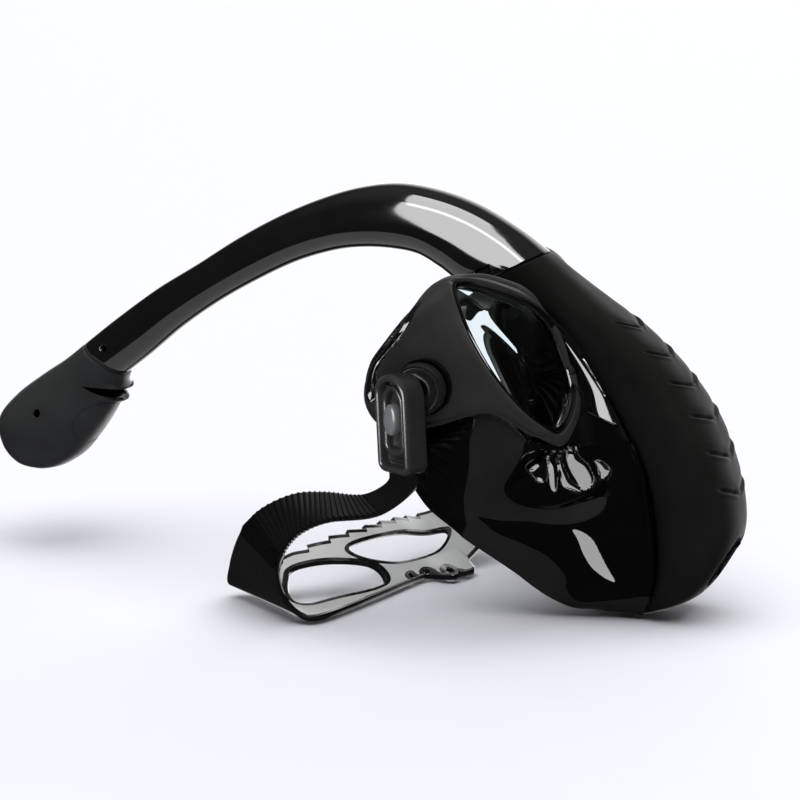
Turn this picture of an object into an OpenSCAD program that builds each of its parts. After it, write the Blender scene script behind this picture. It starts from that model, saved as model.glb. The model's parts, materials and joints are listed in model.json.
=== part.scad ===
// Full face snorkel mask, lying chin down with its strap on the ground.
// +X is the way the mask looks, +Y the wearer's left, +Z up, Z = 0 the ground.
// The mask itself is drawn upright in its own frame (X forward, Z towards the
// forehead) and is then tipped back by mask_pitch about the chin.

/* [Mask] */
// How far the mask leans back from upright
mask_pitch = 27; // [26:0.5:28]
// Wall of the front housing
housing_wall = 2.4; // [2:0.1:3]
// Wall of the frame and cheek panels
panel_wall = 2.6; // [2.2:0.1:3]
// Wall of the soft face skirt
skirt_wall = 2.0; // [1.6:0.1:2.2]
// Thickness of each lens
lens_thick = 2.4; // [2:0.1:2.6]

/* [Snorkel tube] */
// Wall of the snorkel tube
tube_wall = 2.0; // [1.6:0.1:2.4]
// Depth of the spigot that plugs into the housing
spigot_depth = 9; // [7:0.5:10]

/* [Strap] */
// Thickness of the strap
strap_thick = 3.0; // [2.4:0.1:3.4]
// Radius of the buckle's pivot post
post_r = 4.5; // [4:0.1:5]

/* [Quality] */
// Steps between two outline points
loop_steps = 3; // [2:1:4]

/* [Hidden] */
$fn = 48;
GAP = 0.35;
FIT = 0.08;
EPS = 0.01;
SHIFT_X = 152.57;
LIFT = 1.75;
CHARCOAL = [0.22, 0.23, 0.23];
BLACK = [0.06, 0.06, 0.07];
DARK = [0.14, 0.14, 0.15];
CLEAR = [0.75, 0.85, 0.87, 0.35];
GREY = [0.45, 0.46, 0.47];
MILKY = [0.8, 0.82, 0.82];

// ---- smooth outlines -----------------------------------------------------

function spline(a, b, c, d, t) =
    0.5 * (2 * b + (c - a) * t + (2 * a - 5 * b + 4 * c - d) * t * t + (3 * b - 3 * c + d - a) * t * t * t);
// closed smooth loop through the points of P, n steps each
function loop(P, n = loop_steps) = [
    for (i = [0:len(P) - 1], j = [0:n - 1])
        let (k = len(P)) spline(P[(i + k - 1) % k], P[i], P[(i + 1) % k], P[(i + 2) % k], j / n)
];
// open smooth path through the points of P, n steps each
function path(P, n = loop_steps) = let (k = len(P)) concat(
    [for (i = [0:k - 2], j = [0:n - 1])
        let (a = i > 0 ? P[i - 1] : 2 * P[0] - P[1], d = i < k - 2 ? P[i + 2] : 2 * P[k - 1] - P[k - 2])
        spline(a, P[i], P[i + 1], d, j / n)],
    [P[k - 1]]);
function reverse(L) = [for (i = [len(L) - 1:-1:0]) L[i]];
function mirror_y(L) = [for (p = L) [p.x, -p.y, p.z]];
// a half loop on the right of the mid plane becomes a whole loop
function both_sides(H) = concat(H, reverse(mirror_y([for (i = [1:len(H) - 2]) H[i]])));
function mean(L) = [for (k = [0:2]) [for (p = L) p[k]] * [for (p = L) 1] / len(L)];
function about(L, c, k, shift) = [for (p = L) c + (p - c) * k + shift];
function mix(A, B, t) = [for (i = [0:len(A) - 1]) A[i] * (1 - t) + B[i] * t];
function sgn_pow(v, e) = (v < 0 ? -1 : 1) * pow(abs(v), e);
// superellipse ring between a front and a rear point of the mid plane
function oval(f, r, h, n, count) = let (c = (f + r) / 2, d = (f - r) / 2) [
    for (i = [0:count - 1])
        let (a = 360 * i / count) c + d * sgn_pow(cos(a), 2 / n) + [0, h * sgn_pow(sin(a), 2 / n), 0]
];

// ---- solids from grids of points ------------------------------------------

function normals(G, closed) = let (m = len(G), n = len(G[0])) [
    for (i = [0:m - 1]) [
        for (j = [0:n - 1])
            let (
                u = G[min(i + 1, m - 1)][j] - G[max(i - 1, 0)][j],
                v = closed ? G[i][(j + 1) % n] - G[i][(j + n - 1) % n]
                    : G[i][min(j + 1, n - 1)] - G[i][max(j - 1, 0)],
                w = cross(u, v)
            ) w / max(norm(w), EPS)
    ]
];
function offset_grid(G, t, closed) = let (N = normals(G, closed))
    [for (i = [0:len(G) - 1]) [for (j = [0:len(G[0]) - 1]) G[i][j] + N[i][j] * t]];
function flat(G) = [for (r = G) each r];
function volume6(P, F) = [for (f = F) P[f[0]] * cross(P[f[1]], P[f[2]])] * [for (f = F) 1];
module solid(P, F) {
    faces = volume6(P, F) > 0 ? [for (f = F) reverse(f)] : F;
    polyhedron(points = P, faces = faces, convexity = 8);
}
function quads(m, n, wrap_i, wrap_j) = [
    for (i = [0:m - (wrap_i ? 1 : 2)], j = [0:n - (wrap_j ? 1 : 2)], k = [0, 1])
        let (
            a = i * n + j, b = ((i + 1) % m) * n + j,
            c = ((i + 1) % m) * n + (j + 1) % n, d = i * n + (j + 1) % n
        ) k == 0 ? [a, b, c] : [a, c, d]
];
// rings joined in a full turn, such as the two skins of a pipe wall
module ring_solid(rings) {
    solid(flat(rings), quads(len(rings), len(rings[0]), true, true));
}
// rings joined end to end, each end closed over its own middle
module capped_solid(rings) {
    m = len(rings);
    n = len(rings[0]);
    P = concat(flat(rings), [mean(rings[0]), mean(rings[m - 1])]);
    caps = [for (j = [0:n - 1], e = [0, 1])
        e == 0 ? [m * n, j, (j + 1) % n] : [m * n + 1, (m - 1) * n + (j + 1) % n, (m - 1) * n + j]];
    solid(P, concat(quads(m, n, false, true), caps));
}
// wall of thickness t on the inner side of closed rings
module ring_wall(G, t) {
    ring_solid(concat(G, reverse(offset_grid(G, t, true))));
}
// open grid given a thickness, with cells left out where cut(i, j) holds
module sheet_solid(G, t, holes = []) {
    m = len(G);
    n = len(G[0]);
    half = m * n;
    P = concat(flat(offset_grid(G, t / 2, false)), flat(offset_grid(G, -t / 2, false)));
    keep = [for (i = [0:m - 2]) [for (j = [0:n - 2])
        len([for (h = holes) if (i >= h[0] && i < h[1] && j >= h[2] && j < h[3]) 1]) == 0]];
    at = function (i, j) i >= 0 && j >= 0 && i < m - 1 && j < n - 1 && keep[i][j];
    F = [for (i = [0:m - 2], j = [0:n - 2]) if (keep[i][j])
        let (a = i * n + j, b = a + n, c = b + 1, d = a + 1)
        each concat(
            [[a, b, c], [a, c, d], [half + a, half + c, half + b], [half + a, half + d, half + c]],
            at(i - 1, j) ? [] : [[a, d, half + d], [a, half + d, half + a]],
            at(i + 1, j) ? [] : [[b, half + b, half + c], [b, half + c, c]],
            at(i, j - 1) ? [] : [[a, half + a, half + b], [a, half + b, b]],
            at(i, j + 1) ? [] : [[d, c, half + c], [d, half + c, half + d]])];
    solid(P, F);
}

// ---- places ---------------------------------------------------------------

module placed() {
    translate([SHIFT_X, 0, LIFT]) children();
}
module mask() {
    placed() rotate([0, -mask_pitch, 0]) children();
}
module left_side() {
    mirror([0, 1, 0]) children();
}

// ---- front housing (mask frame) -------------------------------------------

// front point x z, rear point x z, half width, from the top down to the chin
HOUSING = [
    [39, 177, 4, 177, 15.5], [47, 161, 14, 165, 16.5], [56, 144, 27, 149, 18.5],
    [66, 126, 34.5, 130, 21], [74, 107, 38, 106, 23.5], [79, 89, 40, 84, 26],
    [81.5, 70, 40, 62, 28], [80.5, 50, 37, 44, 29], [77, 31, 31, 28, 28.5],
    [70, 14, 24, 14, 27], [58, 2, 15, 3, 24.5], [42, -6, 8, -3, 20], [26, -8, 4, -4, 12]
];
HOUSING_RINGS = 2;
function housing_station(row, wall, n) = let (
        f = [row[0], 0, row[1]], r = [row[2], 0, row[3]], u = (f - r) / norm(f - r)
    ) oval(f - u * wall, r + u * wall, row[4] - wall, n, 32);
function housing_rows() = path(HOUSING, HOUSING_RINGS);
module housing_skin(wall, power) {
    capped_solid([for (row = housing_rows()) housing_station(row, wall, power)]);
}
PURGE_C = [55, 0, 2];
PURGE_TILT = 148;
module at_purge() {
    translate(PURGE_C) rotate([0, PURGE_TILT, 0]) children();
}
MOUTH_PORT = [36, 0, 48];
EYE_PORT = [32, 0, 118];
module rear_port(c, r) {
    translate(c) rotate([0, -90, 0]) translate([0, 0, -14]) cylinder(r = r, h = 24);
}
module front_housing() {
    outer = [for (row = housing_rows()) housing_station(row, 0, 2.6)];
    inner = [for (i = [0:len(outer) - 3]) housing_station(housing_rows()[i], housing_wall, 2.6)];
    m = len(outer);
    k = len(inner);
    n = len(outer[0]);
    rings = concat(reverse(outer), inner);
    color(CHARCOAL) mask() difference() {
        capped_solid(rings);
        at_purge() translate([0, 0, -10]) cylinder(r = 15, h = 30);
        rear_port(MOUTH_PORT, 11);
        rear_port(EYE_PORT, 7);
    }
}
module duct_socket_seal() {
    color(BLACK) mask()
        ring_solid(concat(
            [for (z = [159.5, 162]) socket_ring(z, housing_wall + SOCKET_GAP)],
            [for (z = [162, 159.5]) socket_ring(z, housing_wall + SOCKET_GAP + 1.4)]));
}
SOCKET_GAP = 0.9;
// a level ring in the duct just under its mouth
function socket_ring(z, wall) = let (t = (177 - z) / 16) [
    for (p = housing_station(HOUSING[0] * (1 - t) + HOUSING[1] * t, wall, 2.6)) [p.x, p.y, z]];
GILLS = 6;
// point of the housing's outside at station s (may be fractional) and angle a
function housing_point(s, a) = let (
        i = min(floor(s), len(HOUSING) - 2), row = HOUSING[i] * (1 - s + i) + HOUSING[i + 1] * (s - i),
        f = [row[0], 0, row[1]], r = [row[2], 0, row[3]]
    ) (f + r) / 2 + (f - r) / 2 * sgn_pow(cos(a), 2 / 2.6) + [0, row[4] * sgn_pow(sin(a), 2 / 2.6), 0];
// raised lips of the gill slots, slanting down towards the front on both sides
module gill_lips() {
    color(CHARCOAL) mask() for (s = [-1, 1], i = [0:GILLS - 1]) capped_solid([
        for (t = [0.02:0.12:0.98])
            let (c = housing_point(2.6 + i * 0.98 + 0.42 * t, s * (50 - 40 * t)), k = sin(180 * t))
            [for (a = [0:60:300]) c + [1.5 * k * cos(a), 0.9 * k * cos(a) * s, 1.7 * k * sin(a)]]
    ]);
}
module purge_cover() {
    color(CHARCOAL) mask() at_purge() difference() {
        translate([0, 0, -3]) cylinder(r = 14.6, h = 2);
        for (i = [-2:2]) translate([i * 5, 0, 0]) cube([2.6, 20 - abs(i) * 3, 12], center = true);
        for (a = [45:90:315]) rotate([0, 0, a]) translate([SCREW_R, 0, -5]) cylinder(r = 1, h = 8);
    }
}
module purge_seat() {
    color(BLACK) mask() at_purge() difference() {
        translate([0, 0, -8]) cylinder(r = 14.6, h = 2);
        for (a = [0:60:300]) rotate([0, 0, a]) translate([7, 0, -9]) cylinder(r = 2.6, h = 4);
    }
}
module purge_membrane() {
    color(MILKY) mask() at_purge() translate([0, 0, -5.95]) cylinder(r = 11.2, h = 0.8);
}
module exhale_seat() {
    row = HOUSING[4];
    low = housing_station(row, housing_wall + GAP, 2.6);
    high = housing_station(row, housing_wall + 1.3, 2.6);
    color(GREY) mask() difference() {
        capped_solid([low, raised(high, [0, 0, 2])]);
        for (a = [0:60:300]) translate([56, 0, 100]) rotate([0, 0, a]) translate([5, 0, 0]) cylinder(r = 1.8, h = 14);
    }
}
module exhale_valve() {
    color(MILKY) mask() translate([56, 0, 109.1]) cylinder(r = 8, h = 0.7);
}
SCREW_R = 12.6;
module at_screws() {
    for (a = [45:90:315]) at_purge() rotate([0, 0, a]) translate([SCREW_R, 0, 0]) children();
}
module cover_screws() {
    color(GREY) mask() at_screws() difference() {
        union() {
            translate([0, 0, -4.8]) cylinder(r = 0.9, h = 4);
            translate([0, 0, -1]) cylinder(r = 1.6, h = 1);
        }
        translate([0, 0, 0]) cube([2.2, 0.5, 0.9], center = true);
    }
}

// ---- lenses and frame (mask frame, right side) ------------------------------

LENS = [
    [12, -58, 178], [23, -44, 165], [29, -26, 150], [29, -23, 130], [26, -27, 109],
    [20, -45, 98], [17, -61, 107], [16, -69, 125], [16, -71, 145], [13.5, -65.5, 165]
];
FRAME = [
    [6, -57.5, 185], [18, -43, 179], [24.5, -34, 172], [27.5, -24.5, 165.5], [29.5, -20.2, 157],
    [31, -19.5, 145], [31, -19.5, 132], [31, -20, 116], [29, -22.3, 102.5], [25, -35, 93],
    [20, -46, 90], [15, -60, 103], [11, -67, 115], [5, -72, 123], [-8, -76, 125],
    [-26, -79, 126], [-43, -80, 133], [-46.5, -80, 148], [-36, -80, 162], [-12, -78, 174]
];
LENS_LOOP = loop(LENS, 2 * loop_steps);
FRAME_LOOP = loop(FRAME, loop_steps);
LENS_C = mean(LENS_LOOP);
function lens_ring(k, x) = about(LENS_LOOP, LENS_C, k, [x, 0, 0]);
module lens() {
    crown = 3;
    ks = [0.05, 0.35, 0.65, 0.9, 0.97];
    color(CLEAR) mask() capped_solid(concat(
        [for (k = ks) lens_ring(k, crown * (1 - k * k) + lens_thick)],
        [for (k = reverse(ks)) lens_ring(k, crown * (1 - k * k))]));
}
module lens_rim() {
    color(BLACK) mask() ring_solid([
        lens_ring(0.985, -0.8), lens_ring(0.985, 4), lens_ring(1.015, 5.2), lens_ring(1.05, 4), lens_ring(1.05, -0.8)]);
}
module lens_gasket() {
    color(GREY) mask() ring_solid([
        lens_ring(0.9, -3), lens_ring(0.9, -0.9), lens_ring(1.03, -0.9), lens_ring(1.03, -3)]);
}
// bowed outwards where it is wide, and nearly flat where it is narrow
function frame_ring(t) = let (inner = lens_ring(1.065, 3.2), bow = sin(180 * pow(t, 0.7))) [
    for (i = [0:len(inner) - 1])
        let (b = bow * min(3.2, norm(FRAME_LOOP[i] - inner[i]) / 8))
        inner[i] * (1 - t) + FRAME_LOOP[i] * t + [0.3 * b, -b, 0]
];
// the wall thins out where the frame is narrow, along the nose
module frame_plate() {
    outer = [for (t = [0, 0.12, 0.3, 0.55, 0.8, 1]) frame_ring(t)];
    last = len(outer) - 1;
    wall = [for (i = [0:len(outer[0]) - 1])
        panel_wall * max(0.35, min(1, norm(outer[last][i] - outer[0][i]) / 12))];
    N = normals(outer, true);
    inner = [for (i = [last:-1:0]) [for (j = [0:len(wall) - 1]) outer[i][j] - N[i][j] * wall[j]]];
    color(CHARCOAL) mask() ring_solid(concat(outer, inner));
}

// ---- cheek and nose panels (mask frame, right side) -------------------------

// rear edge along the face seal, from the temple down to the chin
CHEEK_REAR = [
    [-45, -80, 127], [-45, -79, 118], [-45, -77, 108], [-46, -72, 96], [-46, -65, 84],
    [-41, -56, 67], [-35, -49, 53], [-30, -43, 41], [-26, -38, 30], [-22, -33, 21], [-17, -27, 13], [-11, -19, 7]
];
// front edge under the frame and along the housing
CHEEK_FRONT = [
    [-36, -79.5, 125.5], [-20, -78, 121.5], [-4, -75, 120], [7, -69, 113], [14.5, -57, 94.5],
    [27, -36, 84], [45, -26, 78.5], [46, -26, 62], [40, -26.6, 42], [33, -26, 24], [24, -22.5, 8], [12, -18, -4]
];
function panel_bulge(i, t) = let (s = i / (len(CHEEK_REAR) - 1), a = 9 * sin(180 * pow(s, 0.8)))
    [0.2 * a, -0.6 * a, 0] * sin(180 * t);
// dimple for finger and thumb, centred beside the nose
function pocket(p) = let (d = norm([(p.x - 10) / 26, (p.z - 74) / 17])) 9 * exp(-d * d * d * d);
function panel_rows(t0, t1, cols) = let (a = path(CHEEK_REAR, 2), b = path(CHEEK_FRONT, 2)) [
    for (i = [0:len(a) - 1]) [
        for (j = [0:cols]) let (t = t0 + (t1 - t0) * j / cols, q = a[i] * (1 - t) + b[i] * t + panel_bulge(i / 2, t))
            q + [0, pocket(q), 0]
    ]
];
module cheek_panel() {
    color(CHARCOAL) mask() sheet_solid(panel_rows(0, 0.47, 6), panel_wall);
}
module nose_panel() {
    color(BLACK) mask() sheet_solid(panel_rows(0.49, 1, 8), panel_wall);
}

// glossy strip between each lens and the housing, from the brow down
BRIDGE_REAR = [[26, -18.4, 160], [30.5, -18.2, 148], [33.2, -18, 130], [33.2, -18.8, 112], [31.5, -22, 99]];
BRIDGE_FRONT = [[27.5, -16.8, 157], [31, -17.6, 149], [38, -18.8, 128], [42, -20.6, 105], [44, -24, 86]];
module bridge_trim() {
    a = path(BRIDGE_REAR, 2);
    b = path(BRIDGE_FRONT, 2);
    color(BLACK) mask() sheet_solid([for (i = [0:len(a) - 1]) [for (t = [0:0.25:1]) a[i] * (1 - t) + b[i] * t]], 1.6);
}

// ---- skirt, inner cup and valves (mask frame) -------------------------------

SEAL = [
    [-17, 0, 172], [-3, -36, 180], [-5, -60, 179], [-24, -72, 171], [-42, -75, 152],
    [-42, -71, 112], [-43, -58, 81], [-14, -22, 12], [-8, 0, 8]
];
SKIRT_FRONT = [
    [-3, 0, 164], [5, -36, 172], [3, -57, 171], [-16, -68, 162], [-30, -71, 148],
    [-30, -68, 116], [-30, -52, 84], [-3, -20, 18], [-1, 0, 14]
];
SEAL_LOOP = loop(both_sides(SEAL));
SKIRT_LOOP = loop(both_sides(SKIRT_FRONT));
SKIRT_C = mean(SEAL_LOOP);
module face_skirt() {
    lip = about(SEAL_LOOP, SKIRT_C, 0.84, [4, 0, 0]);
    color(BLACK) mask() ring_wall([lip, mix(lip, SEAL_LOOP, 0.6), SEAL_LOOP, mix(SEAL_LOOP, SKIRT_LOOP, 0.5), SKIRT_LOOP],
        -skirt_wall);
}
CUP_FACE = [[-6, 0, 98], [-14, -20, 84], [-18, -30, 62], [-12, -27, 38], [-4, -14, 22], [-2, 0, 19]];
CUP_FRONT = [[31, 0, 62], [31, -8, 59], [31, -12.5, 51], [31, -12.5, 44], [31, -8, 37], [31, 0, 34]];
module inner_cup() {
    a = loop(both_sides(CUP_FACE));
    b = loop(both_sides(CUP_FRONT));
    G = [for (t = [0:0.2:1]) let (k = sin(90 * t)) mix(a, b, k)];
    color(DARK) mask() difference() {
        ring_wall(G, -1.6);
        for (s = [-1, 1]) at_inhale(s) translate([0, 0, -6]) cylinder(r = 5, h = 12);
    }
}
module at_inhale(s) {
    translate([10, s * 19.5, 74]) rotate([-s * 38, 22, 0]) children();
}
module inhale_seat(s) {
    color(GREY) mask() at_inhale(s) difference() {
        translate([0, 0, 1.5]) cylinder(r = 7, h = 1.4);
        for (a = [0:90:270]) rotate([0, 0, a]) translate([2.8, 0, 0]) cylinder(r = 1.7, h = 6);
    }
}
module inhale_valve(s) {
    color(MILKY) mask() at_inhale(s) translate([0, 0, 3]) cylinder(r = 6, h = 0.7);
}

// ---- strap posts and buckles (ground frame, right side) ---------------------

POST = [-77, -79, 121];
POST_FACE = 0.5;
HUB_IN = -6.5;
HUB_OUT = -13.2;
CLIP_IN = -9.3;
BUCKLE_TURN = -24;
module at_post() {
    placed() translate(POST) children();
}
// cylinder along the pivot from y0 out to y1, both negative outwards
module along(r, y0, y1) {
    translate([0, y0, 0]) rotate([90, 0, 0]) cylinder(r = r, h = y0 - y1);
}
module post() {
    color(BLACK) at_post() {
        along(13.5, POST_FACE, HUB_IN + GAP);
        along(post_r, POST_FACE, HUB_OUT + 2);
    }
}
// snap ring on the post's end, inside the hub
module post_clip() {
    color(MILKY) at_post() difference() {
        along(6.4, CLIP_IN - 0.3, CLIP_IN - 1.5);
        along(post_r, 0, -20);
    }
}
CAGE_W = 25;
CAGE_TOP = 8;
CAGE_LOW = -43;
CAGE_X = 2;
CAGE_IN = -11.5;
CAGE_OUT = -25;
SLOT_Y = -18;
// rounded outline, with its top corners rounder than its lower ones
module cage_outline() {
    hull() for (side = [-1, 1]) {
        translate([CAGE_X + side * (CAGE_W / 2 - 8), CAGE_TOP - 8]) circle(r = 8, $fn = 32);
        translate([CAGE_X + side * (CAGE_W / 2 - 5), CAGE_LOW + 5]) circle(r = 5, $fn = 32);
    }
}
module cage_block(y0, y1) {
    translate([0, y0, 0]) rotate([90, 0, 0]) linear_extrude(y0 - y1) cage_outline();
}
ROLLER_Z = -33;
module roller_axis(r, half) {
    translate([CAGE_X - half, SLOT_Y, ROLLER_Z]) rotate([0, 90, 0]) cylinder(r = r, h = 2 * half);
}
module turned() {
    rotate([0, 0, BUCKLE_TURN]) children();
}
module buckle() {
    color(DARK) at_post() difference() {
        union() {
            along(12.5, HUB_IN, HUB_OUT);
            turned() difference() {
                cage_block(CAGE_IN, CAGE_OUT);
                translate([CAGE_X, SLOT_Y, -36]) cube([CAGE_W - 5, 8, 30], center = true);
                translate([CAGE_X, CAGE_OUT, -8]) cube([12.5, 7, 24], center = true);
            }
        }
        along(post_r + FIT, 5, CLIP_IN - 1);
        along(7, CLIP_IN, HUB_OUT + 1.3);
        turned() roller_axis(1.5 + FIT, CAGE_W / 2 - 1.4);
    }
}
module buckle_roller() {
    color(GREY) at_post() turned() difference() {
        roller_axis(2.6, 8.4);
        roller_axis(1.5 + FIT, 12);
    }
}
module roller_pins() {
    color(MILKY) for (s = [0, 1]) mirror([0, s, 0]) at_post() turned() roller_axis(1.5, CAGE_W / 2 - 1.6);
}
module buckle_button() {
    color(DARK) at_post() turned() translate([CAGE_X, CAGE_OUT + 2, -8]) {
        cube([11.5, 0.8, 22], center = true);
        translate([0, -0.4, 0]) rotate([90, 0, 0]) scale([0.62, 1, 1]) cylinder(r = 8.6, h = 4.4);
    }
}

// ---- head strap (ground frame) ----------------------------------------------

// lower or front edge of the band, right buckle to left buckle
STRAP_LOW = [
    [-74.5, -99.8, 84], [-75, -100, 76], [-93, -102, 62], [-119, -102, 56], [-134, -101, 48], [-143, -99, 38],
    [-148, -97, 27], [-147, -94, 14], [-141, -90, 4.5], [-131, -85, 0.1], [-124, -60, 0],
    [-118, -30, 0], [-112, 0, 0], [-103, 28, 1], [-95, 46, 12], [-90, 62, 28], [-86, 76, 46],
    [-84, 90, 58], [-75, 100, 76], [-74.5, 99.8, 84]
];
// upper or rear edge of the band
STRAP_HIGH = [
    [-90.5, -92.7, 84], [-91, -93, 76], [-107, -88, 66], [-129, -84, 64], [-145, -86, 62], [-162, -88, 53],
    [-175, -82, 39], [-188, -68, 18], [-192, -58, 5], [-172, -47, 16], [-155, -32, 25],
    [-143, -12, 28], [-137, 20, 26], [-132, 45, 23], [-120, 66, 32], [-110, 78, 46], [-104, 85, 60],
    [-99, 88, 68], [-91, 93, 76], [-90.5, 92.7, 84]
];
STRAP_COLS = 8;
module head_strap() {
    a = path(STRAP_LOW, loop_steps);
    b = path(STRAP_HIGH, loop_steps);
    G = [for (i = [0:len(a) - 1]) [for (j = [0:STRAP_COLS]) let (t = j / STRAP_COLS)
        a[i] * (1 - t) + b[i] * t]];
    n = loop_steps;
    color(BLACK) placed() sheet_solid(G, strap_thick,
        [[9 * n, 10 * n + 1, 2, 6], [11 * n, 12 * n + 2, 2, 6]]);
}

// ---- latch tabs in windows low on the tube (mask frame)
LATCH = [9.5, -14.1, 180.8];
LATCH_TILT = 0;

// ---- snorkel tube (ground frame, mid plane) ---------------------------------

// outer edge x z, inner edge x z, half width, from the mask to the dry top
TUBE = [
    [-45.6, 175.4, -76.8, 159.5, 15.5], [-61, 186, -90, 158, 15.5], [-82, 197, -102, 165, 15.5],
    [-103, 203.5, -113, 170.5, 15.5], [-125, 206, -126, 172.5, 15.3], [-147, 203, -142, 172.5, 15],
    [-169, 196, -159, 170, 14.4], [-192, 186, -181, 163, 13.6], [-215, 173.5, -204, 152, 12.8],
    [-239, 158.5, -227, 139, 12.2], [-263, 144, -249, 124, 12.2], [-287, 127, -268, 108.5, 12.8],
    [-306, 112.5, -283, 97, 13.4]
];
function tube_station(row, wall) = let (
        f = [row[0], 0, row[1]], r = [row[2], 0, row[3]], u = (f - r) / norm(f - r)
    ) oval(f - u * wall, r + u * wall, row[4] - wall, 2.2, 24);
JOIN_LIFT = [-sin(mask_pitch), 0, cos(mask_pitch)] * GAP;
function raised(ring, d) = [for (p = ring) p + d];
module snorkel_tube() {
    rows = path(TUBE, 2);
    outer = [for (i = [0:len(rows) - 1]) raised(tube_station(rows[i], 0), i == 0 ? JOIN_LIFT : [0, 0, 0])];
    inner = [for (i = [0:len(rows) - 1]) raised(tube_station(rows[i], tube_wall), i == 0 ? JOIN_LIFT : [0, 0, 0])];
    color(BLACK) difference() {
        placed() ring_solid(concat(outer, reverse(inner)));
        for (s = [-1, 1]) mask() translate([LATCH.x, s * -LATCH.y, LATCH.z]) rotate([0, LATCH_TILT, 0])
            cube([8, 8, 4.6], center = true);
    }
}
// level ring on the spigot, drop below the join and inset from its outside;
// the spigot leans along the duct, so that it pulls straight out
PULL_LEAN = 0.7;
function spigot_ring(drop, inset) = let (x = PULL_LEAN * drop, z = 177 - drop)
    oval([33.4 + x - inset, 0, z], [8.6 + x + inset, 0, z], 11.6 - inset, 2.6, 32);
module tube_spigot() {
    color(DARK) mask() ring_solid([
        spigot_ring(spigot_depth, 0), spigot_ring(0, 0), spigot_ring(0, 1.8), spigot_ring(spigot_depth, 1.8)]);
}
module spigot_seal() {
    color(MILKY) mask() ring_solid([
        spigot_ring(5, -EPS), spigot_ring(5, -1), spigot_ring(3.4, -1), spigot_ring(3.4, -EPS)]);
}
module tube_divider() {
    rows = path([for (i = [1:11]) TUBE[i]], 2);
    wall = tube_wall + GAP;
    color(DARK) placed() capped_solid([for (row = rows)
        let (c = [(row[0] + row[2]) / 2, 0, (row[1] + row[3]) / 2],
             u = [row[0] - row[2], 0, row[1] - row[3]] / norm([row[0] - row[2], row[1] - row[3]]),
             y = row[4] - wall - 0.6)
        [c + u * 0.7 - [0, y, 0], c + u * 0.7 + [0, y, 0], c - u * 0.7 + [0, y, 0], c - u * 0.7 - [0, y, 0]]]);
}
module latch_tab() {
    color(BLACK) mask() translate(LATCH) rotate([0, LATCH_TILT, 0]) {
        cube([7, 1.2, 3.6], center = true);
        translate([0, -0.9, 0.5]) cube([5.6, 0.7, 1.8], center = true);
    }
}

// ---- dry top (ground frame, mid plane) --------------------------------------

HEAD = [
    [-307.5, 111.5, -284, 96, 13.4], [-319.5, 102, -286, 89, 15], [-334, 92.5, -288, 79, 18.5],
    [-349.5, 81, -293, 68, 22.5], [-360.5, 68, -300, 57.5, 24], [-359.5, 54, -310, 48.5, 21.5],
    [-352, 44.5, -322, 42, 16], [-342, 40.5, -333, 39.6, 7]
];
HEAD_SPLIT = 7;
HEAD_WALL = 2.2;
function head_station(row, wall) = let (
        f = [row[0], 0, row[1]], r = [row[2], 0, row[3]], u = (f - r) / norm(f - r)
    ) oval(f - u * wall, r + u * wall, row[4] - wall, 2.2, 28);
module dry_top_body() {
    rows = path(HEAD, 2);
    color(CHARCOAL) placed() difference() {
        ring_solid(concat(
            [for (i = [0:HEAD_SPLIT]) head_station(rows[i], 0)],
            [for (i = [HEAD_SPLIT:-1:0]) head_station(rows[i], HEAD_WALL)]));
        rotate([90, 0, 0]) linear_extrude(26, center = true)
            polygon([[-309, 87], [-280, 92], [-280, 79]]);
    }
}
module dry_top_cap() {
    rows = path(HEAD, 2);
    k = len(rows) - 1;
    color(CHARCOAL) placed() translate([0, 0, -0.05]) capped_solid(concat(
        [for (i = [k - 1:-1:HEAD_SPLIT]) head_station(rows[i], HEAD_WALL)],
        [for (i = [HEAD_SPLIT:k]) head_station(rows[i], 0)]));
}
HEAD_MID = [-325, 0, 74];
HEAD_TILT = 218;
module at_head() {
    placed() translate(HEAD_MID) rotate([0, HEAD_TILT, 0]) children();
}
module float_guide() {
    color(GREY) at_head() difference() {
        translate([0, 0, -14]) cylinder(r = 13, h = 2.4);
        translate([0, 0, -20]) cylinder(r = 7.5, h = 12);
    }
}
module float_body() {
    color([0.85, 0.45, 0.15]) at_head() translate([0, 0, 3]) rotate_extrude()
        polygon([[0, 0], [8, 0], [11, 3], [11, 12], [7, 16], [0, 16]]);
}
module float_seal() {
    color(MILKY) at_head() translate([0, 0, 1.4]) cylinder(r = 9.5, h = 1.6);
}

front_housing();
duct_socket_seal();
gill_lips();
purge_cover();
purge_seat();
purge_membrane();
frame_plate();  // frame_right
left_side() frame_plate();  // frame_left
lens();  // lens_right
left_side() lens();  // lens_left
lens_rim();  // lens_rim_right
left_side() lens_rim();  // lens_rim_left
lens_gasket();  // lens_gasket_right
left_side() lens_gasket();  // lens_gasket_left
cheek_panel();  // cheek_panel_right
left_side() cheek_panel();  // cheek_panel_left
nose_panel();  // nose_panel_right
left_side() nose_panel();  // nose_panel_left
bridge_trim();  // bridge_trim_right
left_side() bridge_trim();  // bridge_trim_left
face_skirt();
inner_cup();
inhale_seat(-1);  // inhale_seat_right
inhale_seat(1);  // inhale_seat_left
inhale_valve(-1);  // inhale_valve_right
inhale_valve(1);  // inhale_valve_left
exhale_seat();
exhale_valve();
cover_screws();
post();  // post_right
left_side() post();  // post_left
post_clip();  // post_clip_right
left_side() post_clip();  // post_clip_left
snorkel_tube();
tube_spigot();
tube_divider();
spigot_seal();
latch_tab();  // latch_tab_right
left_side() latch_tab();  // latch_tab_left
dry_top_body();
dry_top_cap();
float_guide();
float_body();
float_seal();
buckle();  // buckle_right
left_side() buckle();  // buckle_left
buckle_button();  // buckle_button_right
left_side() buckle_button();  // buckle_button_left
buckle_roller();  // buckle_roller_right
left_side() buckle_roller();  // buckle_roller_left
roller_pins();
head_strap();
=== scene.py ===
import json
import math

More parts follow.
